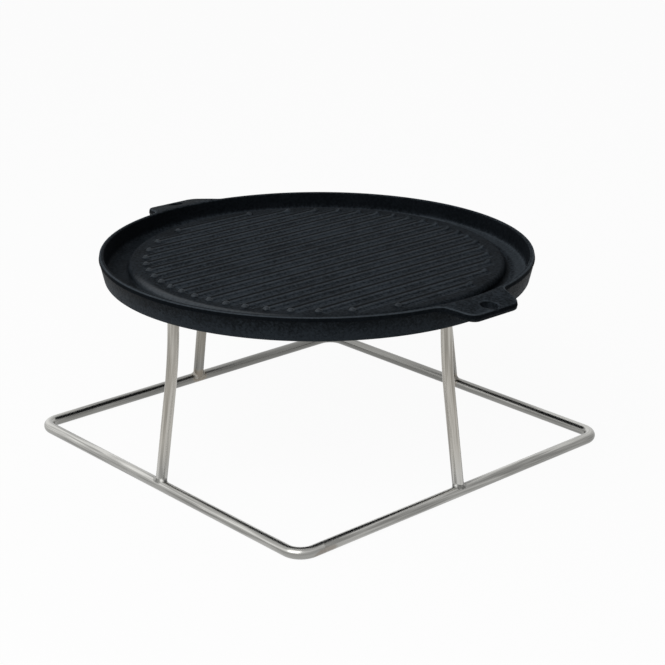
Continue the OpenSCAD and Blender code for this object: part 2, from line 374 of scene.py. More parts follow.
def seasoned_iron(plate, colours):
    """The oiled side of the casting: cooking face, moat, rim and lip."""
    material, nodes = new_finish("seasoned_iron")
    spot = nodes.spot()
    x, y, z = spot.parts()
    r = (x * x + y * y) ** 0.5
    wall_r = plate.rim_r - plate.lip_draft - plate.rim_w - plate.inner_draft
    disc_r = wall_r - plate.moat_w
    on_disc = r.fall(disc_r, disc_r + MM)
    leftward = toward(x, y, LEFT_WAY) / disc_r

    # Painted highlight along each rib's near side and on the beads, mostly those on the left; painted shade
    # in the ribs' corners, strongest on their far side; paler flats between ribs
    rib_foot = foot_of(plate.rib_r, plate.rib_h)
    bead_foot = foot_of(plate.bead_r, plate.bead_h)
    end_r = disc_r - plate.rib_margin
    last_rib = (plate.rib_last + 0.5) * plate.rib_pitch
    rib_y = y.nearest(plate.rib_pitch)
    off_rib = y - rib_y
    past_end = abs(x) - ((end_r**2 - rib_y * rib_y).most(0.0) ** 0.5 - bead_foot)
    in_rows = abs(y).fall(last_rib - MM, last_rib)
    ribbed = past_end.fall(-2 * MM, MM) * in_rows
    # Painted highlight along each rib's lit near side
    crest_highlight = abs(off_rib + 0.5 * MM).fall(0.3 * MM, 1.9 * MM) * ribbed
    between = abs(off_rib).step(0.36 * plate.rib_pitch, 0.46 * plate.rib_pitch) * ribbed
    # Painted shade: a strong dark line on each rib's far side and a weak one at its near foot
    behind = abs(off_rib - rib_foot - 1.4 * MM).fall(MM, 2.3 * MM)
    before = abs(off_rib + rib_foot - 0.5 * MM).fall(0.2 * MM, MM)
    corners = behind.most(before * 0.3) * ribbed
    margin = on_disc * (1.0 - ribbed)
    from_bead = (past_end * past_end + off_rib * off_rib) ** 0.5
    # Painted highlight on the beads, strongest on the left where the light falls
    bead = from_bead.fall(0.9 * bead_foot, 1.1 * bead_foot) * on_disc * in_rows
    bead = bead * (0.2 + leftward.step(-0.8, 0.3) * 0.8)

    # Painted highlight on the shoulder's left; painted shade in the moat at the disc's step; painted shadow
    # over the moat on the left; painted light on the moat's outer band on the right
    sheen_side = (toward(x, y, SHEEN_WAY) / disc_r).step(0.78, 0.97)
    shoulder = r.step(disc_r - 1.8 * plate.shoulder_r, disc_r - 0.5 * plate.shoulder_r)
    shoulder = shoulder * on_disc * sheen_side
    moat_step_shade = r.step(disc_r - 0.5 * MM, disc_r) * r.fall(disc_r + 1.5 * MM, disc_r + 4 * MM)
    moat_band_light = r.step(disc_r + 5 * MM, disc_r + 8 * MM) * r.fall(wall_r - MM, wall_r)
    moat_band_light = moat_band_light * leftward.fall(-0.6, 0.2)
    moat_left_shadow = r.step(disc_r, disc_r + MM) * leftward.step(-0.2, 0.7)

    # Painted highlight along the rim's and ears' edges, least on the ears' right half and round the holes
    # except their far lip; painted shade on steep sides, partly dark seasoning, and on the rim's inner side;
    # the far ear darker
    outside = r.step(wall_r - MM, wall_r + MM)
    ear_fall = (abs(y) - plate.rim_r).most(0.0) * math.tan(plate.ear_droop)
    below_top = plate.foot_z + plate.height - ear_fall - z
    # Painted shade on steep sides, partly dark seasoning
    steep = outside * below_top.step(0.3 * MM, 0.9 * MM)
    hole_r = plate.hole_d / 2
    off_hole = y - y.nearest(plate.ear_tip_y - plate.hole_inset)
    from_hole = (x * x + off_hole * off_hole) ** 0.5
    at_hole = outside * from_hole.fall(hole_r + 1.2 * MM, hole_r + 1.6 * MM)
    far_lip = toward(x, off_hole, FAR_WAY).step(0.1 * hole_r, 0.8 * hole_r)
    ear_right = abs(y).step(plate.rim_r + MM, plate.rim_r + 5 * MM) * x.step(-8 * MM, 10 * MM)
    back_ear = y.step(plate.rim_r - 2 * MM, plate.rim_r + 3 * MM)
    edge = nodes.carried(EDGE, "Fac")
    # Painted highlight along the rim's and ears' edges
    rim = outside * edge.fall(0.9 * MM, 1.7 * MM) * (1.0 - steep)
    rim = rim * (1.0 - ear_right * 0.75) * (1.0 - at_hole * (1.0 - far_lip))
    rim_inside_shade = outside * edge.step(1.2 * MM, 1.9 * MM)

    patch = nodes.noise(spot, 45.0, 4.0)
    grain = nodes.noise(spot, 520.0, 3.0)
    speck = nodes.noise(spot, 2600.0, 2.0)
    mottle = (patch * 0.35 + grain * 0.65).step(0.39, 0.61)
    # Painted shade in rib corners, at the moat's step, over the left moat and on the rim's inner side; the
    # plain margin and the far ear only darker
    shade_and_dark_tone = strongest(
        corners, margin * 0.5, moat_step_shade * 0.7, moat_left_shadow * 0.6, rim_inside_shade * 0.2, back_ear * 0.5
    )
    # Painted highlights on crests, beads, rim, shoulder and moat band, and paler flats between ribs
    sheen_and_pale_flats = strongest(crest_highlight * 0.62, between * 0.3, bead * 0.75, rim, shoulder, moat_band_light * 0.8)
    tone = nodes.layered(
        nodes.blend(mottle, colours.iron_dark, colours.iron_pale),
        (shade_and_dark_tone, colours.iron_soot_and_shade),
        (sheen_and_pale_flats * (0.4 + grain * 0.6), colours.iron_sheen_and_pale),
        # Painted shade on steep sides, partly dark seasoning
        (steep * (0.85 - at_hole * 0.4), colours.iron_soot_and_shade),
    )
    nodes.surface(
        height=grain * 0.7 + speck * 0.3,
        depth=0.12 * MM,
        Base_Color=tone,
        Roughness=0.48 + patch * 0.1 + speck * 0.1,
        Specular_IOR_Level=0.006,
        Specular_Tint=IRON_SHEEN,
        Coat_Weight=(bead * 0.2).most(shoulder * 0.28) * (0.5 + grain * 0.5),
        Coat_Roughness=0.3,
    )
    return material


def sand_cast_iron(plate, colours):
    """The rough side of the casting, as it left the sand: outer wall, ears' undersides and base."""
    material, nodes = new_finish("sand_cast_iron")
    spot = nodes.spot()
    z = spot.parts()[2]
    # Paler towards the foot: partly the sand finish, partly a painted reflection of the pale floor
    lower = z.fall(plate.foot_z, plate.foot_z + plate.height)
    patch = nodes.noise(spot, 60.0, 4.0)
    sand = nodes.noise(spot, 600.0, 5.0, 0.65)
    speck = nodes.noise(spot, 1900.0, 2.0)
    mottle = (patch * 0.25 + sand * 0.75 + lower * 0.25 - 0.1).step(0.36, 0.69)
    nodes.surface(
        height=sand * 0.75 + speck * 0.25,
        depth=0.9 * MM,
        Base_Color=nodes.blend(mottle, colours.cast_dark, colours.cast_pale),
        Roughness=0.45 + speck * 0.2,
        Specular_IOR_Level=0.042,
        Specular_Tint=IRON_SHEEN,
    )
    return material


def foot_heat(nodes, stand):
    """How near a point is to a foot's inner side, from 0 to 1, and less where the front was cleaned."""
    x, y, z = nodes.spot().parts()
    side_r = stand.outer_r - stand.rod_d / 2
    inner = side_r - 0.4 * stand.rod_d
    low = z - 0.8 * stand.rod_d
    on_x = (abs(x) - inner) ** 2.0 + y * y
    on_y = (abs(y) - inner) ** 2.0 + x * x
    foot = (on_x.least(on_y) + low * low) ** 0.5
    uncleaned = 0.15 + (x + y).step(0.0, side_r) * 0.85
    return foot.fall(3 * MM, 11 * MM) * uncleaned


def seam_heat(nodes, stand):
    """How near a point is to the closing weld's lower side, from 0 to 1."""
    x, y, z = nodes.spot().parts()
    side_r = stand.outer_r - stand.rod_d / 2
    on_front = abs(y + side_r).fall(stand.rod_d, 1.2 * stand.rod_d)
    beside = abs(x - stand.seam_x).fall(4 * MM, 13 * MM)
    return beside * on_front * z.fall(0.4 * stand.rod_d, 0.9 * stand.rod_d)


def drawn_steel(stand, colours):
    """Satin stainless rod with streaks along it, tinted beside the welds, with painted shade near the ground
    and on the stand's far sides.
    """
    material, nodes = new_finish("drawn_steel")
    spot = nodes.spot()
    x, y, z = spot.parts()
    grain = nodes.carried(GRAIN, "Vector")
    streak, band, rub = (
        nodes.noise(nodes.stretch(grain, (1.0, 1.0, along)), scale, detail)
        for along, scale, detail in ((0.03, 1000.0, 2.0), (0.04, 420.0, 2.0), (0.25, 160.0, 3.0))
    )
    blotch = nodes.noise(spot, 260.0, 3.0)
    foot_tint = foot_heat(nodes, stand)
    seam_tint = seam_heat(nodes, stand)
    # Painted shade: rods darker near the ground and on the stand's far sides
    low = z.fall(0.5 * stand.rod_d, 0.8 * stand.rod_d)
    far = (x + y).step(-0.6 * stand.outer_r, 1.3 * stand.outer_r)
    warmed = z.step(stand.rod_d, 5 * stand.rod_d) * (0.12 + rub * 0.2)
    bright = (streak * 0.35 + band * 0.65).step(0.37, 0.63) * 0.8 + 0.25
    bright = bright * (1.0 - low * 0.4) * (1.0 - far * 0.8)
    tone = nodes.layered(
        nodes.blend(bright, colours.steel_dark, colours.steel_pale),
        (warmed, colours.heat_straw),
        ((foot_tint * 1.3 + blotch - 0.9).step(0.0, 0.5) * 0.25, colours.heat_straw),
        ((foot_tint * 1.2 + blotch - 1.1).step(0.0, 0.5) * 0.22, colours.heat_brown),
        ((seam_tint + blotch - 0.7).step(0.0, 0.5) * 0.4, colours.heat_brown),
    )
    nodes.surface(
        height=streak * 0.7 + band * 0.3,
        depth=0.01 * MM,
        Base_Color=tone,
        Metallic=1.0,
        Roughness=0.18 + streak * 0.1 + rub * 0.06,
    )
    return material


def cleaned_weld(stand, colours):
    """Small brushed weld, still a little tinted."""
    material, nodes = new_finish("cleaned_weld")
    spot = nodes.spot()
    blotch = nodes.noise(spot, 300.0, 4.0)
    fine = nodes.noise(spot, 2400.0, 2.0)
    foot_tint = foot_heat(nodes, stand)
    tone = nodes.layered(
        nodes.blend(blotch.step(0.35, 0.7), colours.steel_dark, colours.bead_steel),
        ((foot_tint + blotch - 1.0).step(0.0, 0.5) * 0.25, colours.heat_straw),
    )
    nodes.surface(
        height=blotch * 0.6 + fine * 0.4,
        depth=0.03 * MM,
        Base_Color=tone,
        Metallic=1.0,
        Roughness=0.45 + blotch * 0.16,
    )
    return material


def full_turn(count):
    """Evenly spaced angles of one whole turn."""
    return [math.tau * i / count for i in range(count)]


def ring_round(middle, side, up, radius, count=ROD_SIDES):
    """A loop of points round a middle, in the plane of two directions."""
    return [middle + (side * math.cos(t) + up * math.sin(t)) * radius for t in full_turn(count)]


def bands(loops, width, closed=False):
    """Faces between loops of points that follow one another, and from the last to the first if closed."""
    faces = []
    for i in range(loops if closed else loops - 1):
        a = i * width
        b = (i + 1) % loops * width
        faces += [(a + k, a + (k + 1) % width, b + (k + 1) % width, b + k) for k in range(width)]
    return faces


def arc(middle_r, middle_z, radius, start, end, count):
    """Points on a round stretch of a half section, from one angle to another in degrees."""
    turns = [math.radians(start + (end - start) * i / (count - 1)) for i in range(count)]
    return [(middle_r + radius * math.cos(t), middle_z + radius * math.sin(t)) for t in turns]


def soft_step(value):
    """A smooth step from 0 to 1."""
    t = np.clip(value, 0, 1)
    return t * t * (3 - 2 * t)


def soft_most(first, second, blend):
    """The larger of two heights, with their corner blended."""
    return (first + second + np.sqrt((first - second) ** 2 + blend**2)) / 2


def round_back(off, radius, height):
    """Height of a round back above its base at a distance from its middle, below zero past its foot."""
    back = np.sqrt(np.clip(radius**2 - off**2, 0, None)) - (radius - height)
    return back - 4 * np.clip(off - radius, 0, None)


def loops_stitched(inner, inner_turn, outer, outer_turn):
    """Triangles between two loops of points round the middle, both in order of their angles."""
    faces = []
    i = 0
    j = 0
    inner_next = [*inner_turn[1:], inner_turn[0] + math.tau]
    outer_next = [*outer_turn[1:], outer_turn[0] + math.tau]
    while i < len(inner) or j < len(outer):
        a = inner[i % len(inner)]
        b = outer[j % len(outer)]
        if j == len(outer) or (i < len(inner) and inner_next[i] <= outer_next[j]):
            faces.append((a, b, inner[(i + 1) % len(inner)]))
            i += 1
        else:
            faces.append((a, b, outer[(j + 1) % len(outer)]))
            j += 1
    return faces


class PlateForm:
    """Works out the casting's surface as one closed mesh, with its rough faces marked."""

    def __init__(self, sizes):
        self.s = sizes
        self.points = []
        self.faces = []
        self.rough = []
        s = sizes
        self.inner_top_r = s.rim_r - s.lip_draft - s.rim_w
        self.inner_foot_r = self.inner_top_r - s.inner_draft
        self.disc_r = self.inner_foot_r - s.moat_w
        self.disc_z = s.floor_t + s.disc_step
        self.foot_r = s.rim_r - s.wall_draft
        self.parting_z = s.height - s.lip_h
        self.recess_r = self.disc_r - s.ring_offset
        # Height below which no ear reaches, so that the wall is plain
        self.plain_z = s.height - s.ear_t - s.ear_under_r - 0.5 * MM
        self.turns = self.spread_turns()
        self.ear_lines()

    def spread_turns(self):
        """Angles of the section's stations, closer together at the ears on +Y and -Y."""
        ear = np.concatenate([np.arange(-15, -5, 0.25), np.arange(-5, 5, 0.5), np.arange(5, 15, 0.25)])
        plain = np.arange(15, 165, 1.0)
        degrees = np.concatenate([ear + 90, plain + 90, ear + 270, plain + 270]) % 360
        return np.radians(np.sort(degrees))

    def ear_lines(self):
        """The lines and arc centres that an ear's outline is made of, on its +X side."""
        s = self.s
        taper = (s.ear_root_w - s.ear_tip_w) / 2
        reach = s.ear_tip_y - s.rim_r
        side = np.array([-taper, reach]) / math.hypot(taper, reach)
        self.ear_out = np.array([side[1], -side[0]])
        self.ear_root = np.array([s.ear_root_w / 2, s.rim_r])
        corner_y = s.ear_tip_y - s.ear_corner_r
        fall = s.ear_corner_r + self.ear_out[1] * (corner_y - s.rim_r)
        self.ear_corner = np.array([self.ear_root[0] - fall / self.ear_out[0], corner_y])
        start = self.ear_root + s.ear_fillet_r * self.ear_out
        rise = math.sqrt((s.rim_r + s.ear_fillet_r) ** 2 - (start @ self.ear_out) ** 2)
        self.ear_fillet = start + (rise - start @ side) * side

    def outline_gap(self, x, y):
        """Distance in plan from the plate's outline at its parting line, below zero inside it."""
        s = self.s
        x = np.abs(x)
        y = np.abs(y)
        round_gap = np.hypot(x, y) - s.rim_r
        out = self.ear_out
        side_gap = (x - self.ear_root[0]) * out[0] + (y - self.ear_root[1]) * out[1]
        ear_gap = np.maximum(side_gap, y - s.ear_tip_y)
        corner_x = x - self.ear_corner[0]
        corner_y = y - self.ear_corner[1]
        at_corner = (out[0] * corner_y - out[1] * corner_x >= 0) & (corner_x >= 0)
        ear_gap = np.where(at_corner, np.hypot(corner_x, corner_y) - s.ear_corner_r, ear_gap)
        gap = np.minimum(round_gap, ear_gap)
        fillet_x = x - self.ear_fillet[0]
        fillet_y = y - self.ear_fillet[1]
        to_rim = -self.ear_fillet / np.linalg.norm(self.ear_fillet)
        past_rim = to_rim[0] * fillet_y - to_rim[1] * fillet_x <= 0
        past_side = fillet_y * out[0] - fillet_x * out[1] <= 0
        return np.where(past_rim & past_side, s.ear_fillet_r - np.hypot(fillet_x, fillet_y), gap)

    def outline(self, inset):
        """Radius at each station of the line that lies this far inside the outline."""
        low = np.full(len(self.turns), self.inner_foot_r)
        high = np.full(len(self.turns), 1.1 * self.s.ear_tip_y)
        for _ in range(OUTLINE_HALVINGS):
            middle = (low + high) / 2
            inside = self.outline_gap(middle * np.cos(self.turns), middle * np.sin(self.turns)) < -inset
            low = np.where(inside, middle, low)
            high = np.where(inside, high, middle)
        return (low + high) / 2

    def top_z(self, radius):
        """Height of the rim's and ears' top at each station: level on the rim, sloping on an ear."""
        s = self.s
        bend = 0.7 * s.rim_w
        past = np.abs(radius * np.sin(self.turns)) - s.rim_r
        soft = np.where(past > bend, past, np.clip(past + bend, 0, None) ** 2 / (4 * bend))
        return s.height - math.tan(s.ear_droop) * soft

    def wall_r(self, z):
        """Radius of the sand-cast outer wall at a height."""
        return self.foot_r + (self.s.wall_draft - self.s.part_step) * z / self.parting_z

    def dish_rings(self):
        """Rings over the disc's shoulder, through the moat and up the inner wall to the rim's flat."""
        s = self.s
        slope = math.atan(s.inner_draft / (s.height - s.floor_t))
        tilt = math.degrees(slope)
        wall_middle = self.inner_foot_r + s.moat_outer_r * (math.tan(slope) - 1 / math.cos(slope))
        edge_z = s.height - s.edge_r
        edge_middle = self.inner_top_r - s.edge_r * math.tan(slope) + s.edge_r / math.cos(slope)
        shoulder = arc(self.disc_r - s.shoulder_r, self.disc_z - s.shoulder_r, s.shoulder_r, 90, 0, 8)
        inner = arc(self.disc_r + s.moat_inner_r, s.floor_t + s.moat_inner_r, s.moat_inner_r, 180, 270, 6)
        outer = arc(wall_middle, s.floor_t + s.moat_outer_r, s.moat_outer_r, 270, 360 - tilt, 7)
        edge = arc(edge_middle, edge_z, s.edge_r, 180 - tilt, 90, 5)
        return [(self.disc_r - s.shoulder_r - 3 * MM, self.disc_z), *shoulder, *inner, *outer, *edge]

    def edge_ring(self, inset, drop):
        """A ring this far inside the outline and this far below the top."""
        radius = self.outline(inset)
        return radius, self.top_z(radius) - drop

    def rings_between(self, start_r, end_r, count, drop):
        """Rings from one radius to another, without the two ends, this far below the top."""
        radii = [start_r + (end_r - start_r) * part for part in np.linspace(0, 1, count)[1:-1]]
        return [(radius, self.top_z(radius) - drop) for radius in radii]

    def rim_rings(self, start_r):
        """Rings over the rim's flat and the ears, round their edge and down the lip to the parting line."""
        s = self.s
        rings = self.rings_between(start_r, self.outline(s.lip_draft + s.edge_r), 8, 0.0)
        for turn in np.radians(np.linspace(90, 0, 5)):
            inset = s.lip_draft + s.edge_r * (1 - math.cos(turn))
            rings.append(self.edge_ring(inset, s.edge_r * (1 - math.sin(turn))))
        for part in (0.5, 1.0):
            depth = s.edge_r + (s.lip_h - s.edge_r) * part
            rings.append(self.edge_ring(s.lip_draft * (1 - part), depth - part * self.stray()))
        return rings

    def stray(self):
        """How far the parting line wanders from its level at each station."""
        waves = ((7, 0.4, 0.5), (16, 1.9, 0.35), (41, 4.2, 0.3), (97, 2.6, 0.25))
        return self.s.part_stray * sum(size * np.sin(count * self.turns + at) for count, at, size in waves)

    def under_rings(self):
        """Rings below the parting line: under the ears, or straight down the wall where there is none."""
        s = self.s
        outer_r = self.outline(s.part_step)
        reach = np.clip(outer_r - self.wall_r(self.parting_z), 0, None)
        edge = np.minimum(s.ear_edge_r, 0.3 * reach)
        fillet = np.minimum(s.ear_under_r, 0.6 * reach)
        start_z = self.top_z(outer_r) - s.lip_h - 0.5 * s.part_step + self.stray()
        low_z = self.top_z(outer_r) - s.ear_t
        root_z = self.top_z(np.full(len(self.turns), s.rim_r)) - s.ear_t
        root_r = self.wall_r(root_z - fillet)
        ear = [(outer_r, start_z), (outer_r, (start_z + low_z + edge) / 2)]
        for turn in np.radians(np.linspace(0, 90, 4)):
            inset = s.part_step + edge * (1 - math.cos(turn))
            ear.append(self.edge_ring(inset, s.ear_t - edge * (1 - math.sin(turn))))
        ear += self.rings_between(ear[-1][0], root_r + fillet, 7, s.ear_t)
        for turn in np.radians(np.linspace(90, 180, 5)):
            ear.append((root_r + fillet * (1 + math.cos(turn)), root_z - fillet * (1 - math.sin(turn))))
        weight = soft_step(reach / (3 * MM))
        rings = []
        for i, (ear_r, ear_z) in enumerate(ear):
            z = start_z + (self.plain_z - start_z) * i / (len(ear) - 1)
            rings.append((self.wall_r(z) + (ear_r - self.wall_r(z)) * weight, z + (ear_z - z) * weight))
        return rings

    def base_rings(self):
        """Rings down the wall, round the foot, over the heat ring and up into the recess."""
        s = self.s
        slope = math.atan((s.wall_draft - s.part_step) / self.parting_z)
        foot_middle = self.foot_r + s.foot_round * (math.tan(slope) - 1 / math.cos(slope))
        edge = 0.4 * MM
        hollow = 0.5 * MM
        rings = [(self.wall_r(z), z) for z in np.linspace(self.plain_z, s.foot_round, 6)[1:-1]]
        rings += arc(foot_middle, s.foot_round, s.foot_round, -math.degrees(slope), -90, 7)
        rings += arc(self.recess_r + edge, edge, edge, 270, 180, 4)
        rings += arc(self.recess_r - hollow, s.recess_h - hollow, hollow, 0, 90, 4)
        rings.append((self.recess_r - 4 * MM, s.recess_h))
        return rings

    def add_ring(self, radius, z):
        """Adds one loop of points round the plate."""
        radius = np.broadcast_to(radius, self.turns.shape)
        z = np.broadcast_to(z, self.turns.shape)
        self.points += list(zip(radius * np.cos(self.turns), radius * np.sin(self.turns), z))

    def add_rows(self, rows, columns, height):
        """Adds a sheet of points in rows along X, and gives its faces, its border and the border's angles."""
        first = len(self.points)
        for y in rows:
            x = columns(y)
            self.points += list(zip(x, np.full(len(x), y), height(x, y)))
        grid = np.arange(first, len(self.points)).reshape(len(rows), -1)
        corners = (grid[:-1, :-1], grid[:-1, 1:], grid[1:, 1:], grid[1:, :-1])
        faces = list(zip(*(corner.ravel().tolist() for corner in corners)))
        border = set(np.concatenate([grid[0], grid[-1], grid[:, 0], grid[:, -1]]).tolist())
        turn = {k: math.atan2(self.points[k][1], self.points[k][0]) % math.tau for k in border}
        loop = sorted(border, key=turn.get)
        return faces, loop, [turn[k] for k in loop]

    def rib_rows(self):
        """Places of the face's rows: close over each rib, one between ribs."""
        s = self.s
        half = np.array([0.0, 0.5, 1.0, 1.5, 2.0, 2.4, 2.8, 3.4, 5.0]) * MM
        offsets = np.concatenate([-half[:0:-1], half, [s.rib_pitch / 2]])
        ribs = np.arange(-s.rib_last, s.rib_last + 1) * s.rib_pitch
        rows = (ribs[:, None] + offsets).ravel()
        limit = s.rib_last * s.rib_pitch + 3.5 * MM
        return np.concatenate([[-limit - MM], rows[np.abs(rows) < limit], [limit + MM]])

    def rib_columns(self, border_r):
        """A function that gives a row's points along X: close together near its two ends."""
        near = np.arange(0, 22.2, 0.6) * MM
        middle = np.linspace(-1, 1, 12)[1:-1]

        def columns(y):
            end = math.sqrt(border_r**2 - y**2)
            return np.concatenate([near - end, middle * (end - near[-1]), (end - near)[::-1]])

        return columns

    def rib_height(self, x, y):
        """Height of the face along one row: round-backed ribs with bead ends, blended into the disc."""
        s = self.s
        rib_y = round(y / s.rib_pitch) * s.rib_pitch
        half = math.sqrt((self.disc_r - s.rib_margin) ** 2 - rib_y**2) - foot_of(s.bead_r, s.bead_h)
        past_end = np.clip(np.abs(x) - half, 0, None)
        rib = round_back(np.hypot(past_end, y - rib_y), s.rib_r, s.rib_h)
        bead = round_back(np.hypot(np.abs(x) - half, y - rib_y), s.bead_r, s.bead_h)
        back = soft_most(rib, bead, s.rib_blend)
        return self.disc_z + soft_most(back, 0.0, s.rib_blend)

    def build(self):
        """Fills the points and faces, smooth faces first."""
        s = self.s
        turns = list(self.turns)
        count = len(turns)
        dish = self.dish_rings()
        rim = self.rim_rings(dish[-1][0])
        rings = [*dish, *rim, *self.under_rings(), *self.base_rings()]
        for radius, z in rings:
            self.add_ring(radius, z)
        quads = [(a, d, c, b) for a, b, c, d in bands(len(rings), count)]
        top, *border = self.add_rows(self.rib_rows(), self.rib_columns(dish[0][0] - MM), self.rib_height)
        top += loops_stitched(*border, list(range(count)), turns)
        base_r = rings[-1][0] - 6 * MM
        last_row = 0.97 * base_r
        base, *border = self.add_rows(
            np.linspace(-last_row, last_row, BASE_ROWS),
            lambda y: np.linspace(-1, 1, BASE_ROWS) * math.sqrt(base_r**2 - y**2),
            lambda x, y: np.full(len(x), s.recess_h),
        )
        last = (len(rings) - 1) * count
        base += loops_stitched(*border, list(range(last, last + count)), turns)
        parting = (len(dish) + len(rim)) * count
        smooth = top + quads[:parting]
        rough = quads[parting:] + [face[::-1] for face in base]
        self.faces = smooth + rough
        self.rough = [False] * len(smooth) + [True] * len(rough)


def new_piece(name, points, faces, materials):
    """A mesh object of these points and faces, linked to the scene."""
    mesh = bpy.data.meshes.new(name)
    mesh.from_pydata([tuple(map(float, p)) for p in points], [], faces)
    for material in materials:
        mesh.materials.append(material)
    piece = bpy.data.objects.new(name, mesh)
    bpy.context.scene.collection.objects.link(piece)
    return piece


def turned_out(piece):
    """Makes every face of a closed mesh look outwards."""
    mesh = bmesh.new()
    mesh.from_mesh(piece.data)
    bmesh.ops.recalc_face_normals(mesh, faces=mesh.faces)
    mesh.to_mesh(piece.data)
    mesh.free()


def smoothed(piece, degrees):
    """Shades a piece smooth, apart from edges sharper than this."""
    piece.data.shade_smooth()
    piece.data.set_sharp_from_angle(angle=math.radians(degrees))


def fitted(piece, body, slot, *nodes):
    """Lets a piece stand for its solids and ride on their body."""
    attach(piece, body)
    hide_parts(*nodes)


def carry(piece, name, kind, field, values):
    """Lets the points of a piece carry these values."""
    layer = piece.data.attributes.new(name, kind, "POINT")
    layer.data.foreach_set(field, np.array(values, dtype=np.float32).ravel())


def spool(name, middle, axis, sizes):
    """A round cutter with flared ends, which leaves a hole with rounded edges."""
    half = sizes.ear_t / 2
    edge = sizes.hole_edge_r
    hole_r = sizes.hole_d / 2
    upper = arc(hole_r + edge, half - edge, edge, 180, 90, 6)
    upper.append((hole_r + 3 * edge, half + edge))
    section = [(r, -z) for r, z in upper[::-1]] + upper
    side = Vector((1, 0, 0))
    across = axis.cross(side)
    points = []
    for radius, z in section:
        points += ring_round(middle + axis * z, side, across, radius, HOLE_SIDES)
    faces = bands(len(section), HOLE_SIDES)
    faces.append(tuple(range(HOLE_SIDES))[::-1])
    faces.append(tuple(range(len(points) - HOLE_SIDES, len(points))))
    cutter = new_piece(name, points, faces, [])
    turned_out(cutter)
    return cutter


def bored(piece, cutter):
    """Cuts a piece with a cutter and takes the cutter away."""
    for material in piece.data.materials:
        cutter.data.materials.append(material)
    cut = piece.modifiers.new("bore", "BOOLEAN")
    cut.operation = "DIFFERENCE"
    cut.solver = "MANIFOLD"
    cut.object = cutter
    graph = bpy.context.evaluated_depsgraph_get()
    mesh = bpy.data.meshes.new_from_object(piece.evaluated_get(graph))
    piece.modifiers.clear()
    old = piece.data
    piece.data = mesh
    mesh.name = piece.name
    bpy.data.meshes.remove(old)
    bpy.data.objects.remove(cutter)


class MakePlate(bpy.types.Operator):
    """Makes the cast plate with its ribs, moat, ears and hanging holes."""

    bl_idname = "griddle.plate"
    bl_label = "Plate"

    def execute(self, context):
        sizes = context.scene.griddle_plate
        colours = context.scene.griddle_colours
        form = PlateForm(sizes)
        form.build()
        points = [(x, y, z + sizes.foot_z) for x, y, z in form.points]
        materials = [seasoned_iron(sizes, colours), sand_cast_iron(sizes, colours)]
        plate = new_piece("iron_plate", points, form.faces, materials)
        plate.data.polygons.foreach_set("material_index", np.array(form.rough, dtype=np.int32))
        hole_y = sizes.ear_tip_y - sizes.hole_inset * math.cos(sizes.ear_droop)
        top = sizes.foot_z + sizes.height - (hole_y - sizes.rim_r) * math.tan(sizes.ear_droop)
        for way in (1, -1):
            axis = Vector((0, way * math.sin(sizes.ear_droop), math.cos(sizes.ear_droop)))
            middle = Vector((0, way * hole_y, top)) - axis * sizes.ear_t / 2
            bored(plate, spool("hole_cutter", middle, axis, sizes))
        smoothed(plate, SHARP_EDGE)
        x, y, _ = np.array([corner.co for corner in plate.data.vertices]).T
        to_hole = np.hypot(x, np.abs(y) - hole_y) - sizes.hole_d / 2
        carry(plate, EDGE, "FLOAT", "value", np.minimum(to_hole, -form.outline_gap(x, y) - sizes.lip_draft))
        fitted(plate, "plate", "cast_iron", "griddle_plate")
        return {"FINISHED"}


def rod_piece(name, rings, lengths, material, radius):
    """A closed rod through loops of points, with its grain along it."""
    count = len(rings[0])
    points = [p for ring in rings for p in ring]
    faces = bands(len(rings), count)
    for ring in (0, len(rings) - 1):
        start = ring * count
        middle = len(points)
        points.append(sum(rings[ring], Vector()) / count)
        faces += [(start + j, start + (j + 1) % count, middle) for j in range(count)]
    piece = new_piece(name, points, faces, [material])
    turned_out(piece)
    section = [(math.cos(t) * radius, math.sin(t) * radius) for t in full_turn(count)]
    grain = [(*spot, at) for at in lengths for spot in section]
    carry(piece, GRAIN, "FLOAT_VECTOR", "vector", [*grain, (0, 0, lengths[0]), (0, 0, lengths[-1])])
    smoothed(piece, SHARP_EDGE)
    return piece


def quarter(point, side):
    """A point of the stand's +X side, turned to another side."""
    x, y, z = point
    for _ in range(SIDES[side]):
        x, y = -y, x
    return Vector((x, y, z))


def running_lengths(path):
    """Distance of each point of a path from its start."""
    lengths = [0.0]
    for a, b in zip(path, path[1:]):
        lengths.append(lengths[-1] + (b - a).length)
    return lengths


def frame_path(sizes, seam, gap):
    """Points of the rod from one side of its weld round to the other, each with its way out of the frame."""
    bend_at = sizes.outer_r - sizes.rod_d / 2 - sizes.corner_r
    path = []

    def straight(start, end, out, count):
        path.extend((start.lerp(end, i / count), out) for i in range(count))

    straight(seam + gap, Vector((bend_at, seam.y, seam.z)), FRONT, SIDE_STEPS - SEAM_STEPS)
    for i, (x, y) in enumerate(((1, -1), (1, 1), (-1, 1), (-1, -1))):
        middle = Vector((x * bend_at, y * bend_at, seam.z))
        for turn in np.radians(np.linspace(90 * i - 90, 90 * i, CORNER_STEPS + 1)):
            out = Vector((math.cos(turn), math.sin(turn), 0))
            path.append((middle + out * sizes.corner_r, out))
        start, out = path.pop()
        if i < 3:
            along = Vector((-out.y, out.x, 0))
            straight(start, start + along * 2 * bend_at, out, SIDE_STEPS)
    straight(start, seam - gap, FRONT, SEAM_STEPS)
    path.append((seam - gap, FRONT))
    return path


